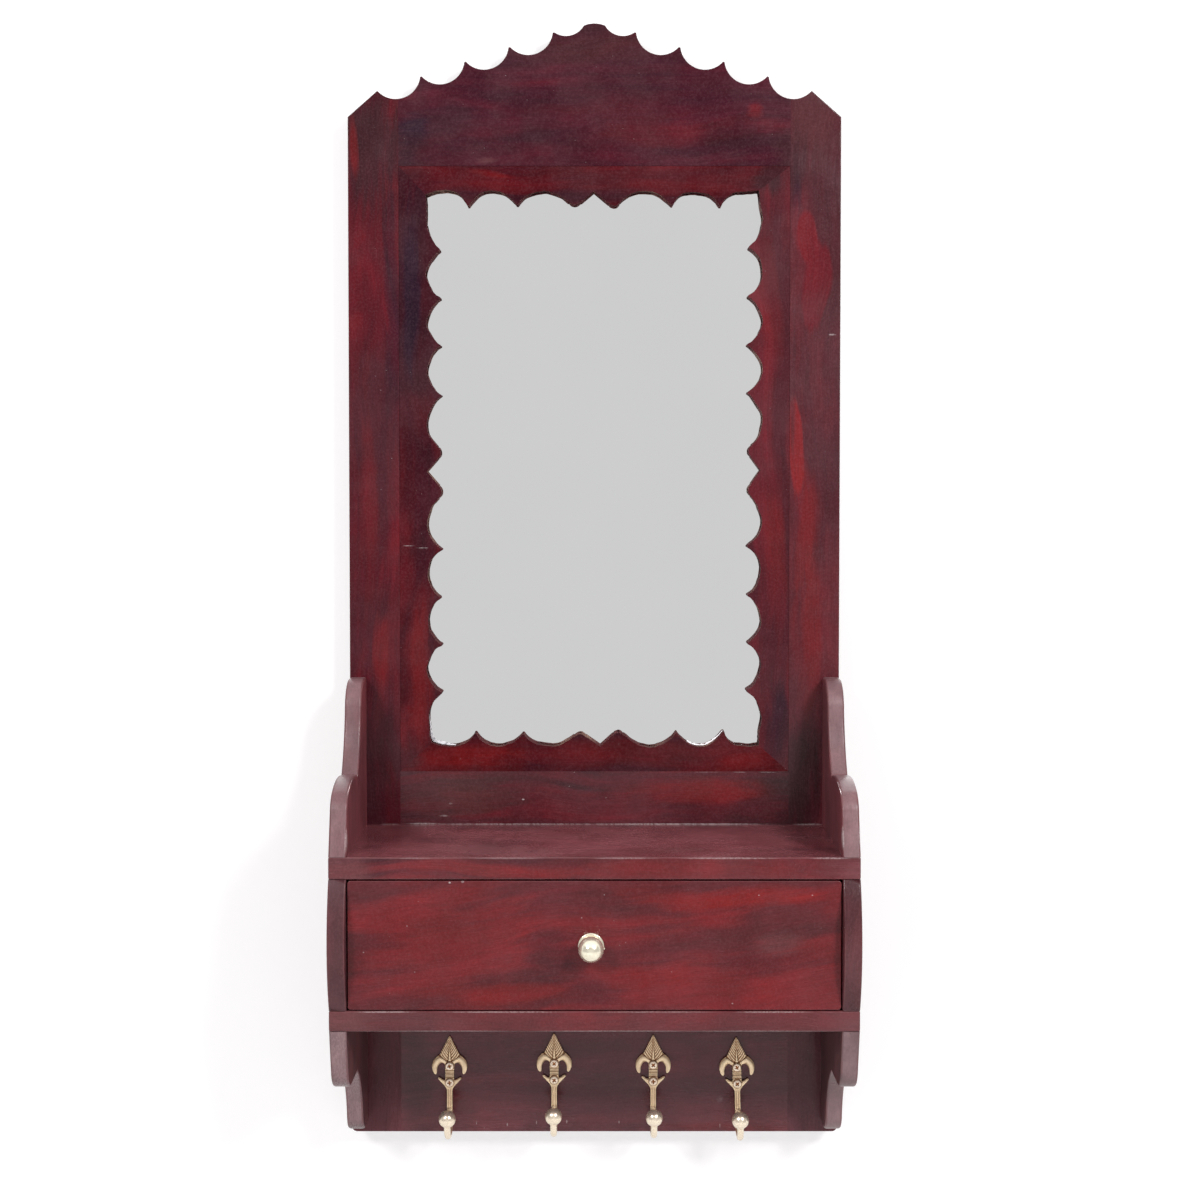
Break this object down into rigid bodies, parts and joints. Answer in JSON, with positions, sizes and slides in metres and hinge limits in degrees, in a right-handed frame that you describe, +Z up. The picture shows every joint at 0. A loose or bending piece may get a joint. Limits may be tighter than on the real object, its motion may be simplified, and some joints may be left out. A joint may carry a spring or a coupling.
{
  "type": "wall mirror",
  "caption": "Wooden wall mirror with scalloped crest and frame, shelf with shaped side brackets, one drawer and brass coat hooks.",
  "frame": {"origin": "on the wall plane, at the middle of the panel's bottom edge", "axes": "+X to the right seen from the front, +Y into the wall, +Z up"},
  "size_m": [0.356, 0.1551, 0.8074],
  "materials": {
    "stained_wood": "glossy",
    "raw_wood": "matte",
    "hardboard": "matte",
    "mirror": "polished",
    "aged_brass": "satin",
    "polished_brass": "polished",
    "steel": "satin"
  },
  "bodies": {
    "frame": {"left_stile": "stained_wood", "right_stile": "stained_wood", "crest_rail": "stained_wood", "lower_rail": "stained_wood", "hook_board": "stained_wood", "scallop_top": "stained_wood", "scallop_bottom": "stained_wood", "scallop_left": "stained_wood", "scallop_right": "stained_wood", "mirror_glass": "mirror", "backing_board": "hardboard", "backing_pins": "steel", "panel_dowels": "raw_wood", "shelf_board": "stained_wood", "bottom_board": "stained_wood", "left_case_side": "stained_wood", "right_case_side": "stained_wood", "left_upper_bracket": "stained_wood", "right_upper_bracket": "stained_wood", "left_lower_bracket": "stained_wood", "right_lower_bracket": "stained_wood", "case_dowels": "raw_wood", "case_screws": "steel", "coat_hook_1": "aged_brass", "coat_hook_2": "aged_brass", "coat_hook_3": "aged_brass", "coat_hook_4": "aged_brass", "hook_screws": "polished_brass", "left_hanger_plate": "steel", "right_hanger_plate": "steel", "hanger_screws": "steel"},
    "drawer": {"drawer_front": "stained_wood", "drawer_left_side": "raw_wood", "drawer_right_side": "raw_wood", "drawer_back": "raw_wood", "drawer_bottom": "raw_wood", "drawer_dowels": "raw_wood", "drawer_brads": "steel", "drawer_knob": "polished_brass", "knob_screw": "steel"}
  },
  "joints": [
    {"name": "drawer_slide", "type": "slide", "parent": "frame", "child": "drawer", "axis": [0, -1, 0], "range_m": [0, 0.085]}
  ]
}
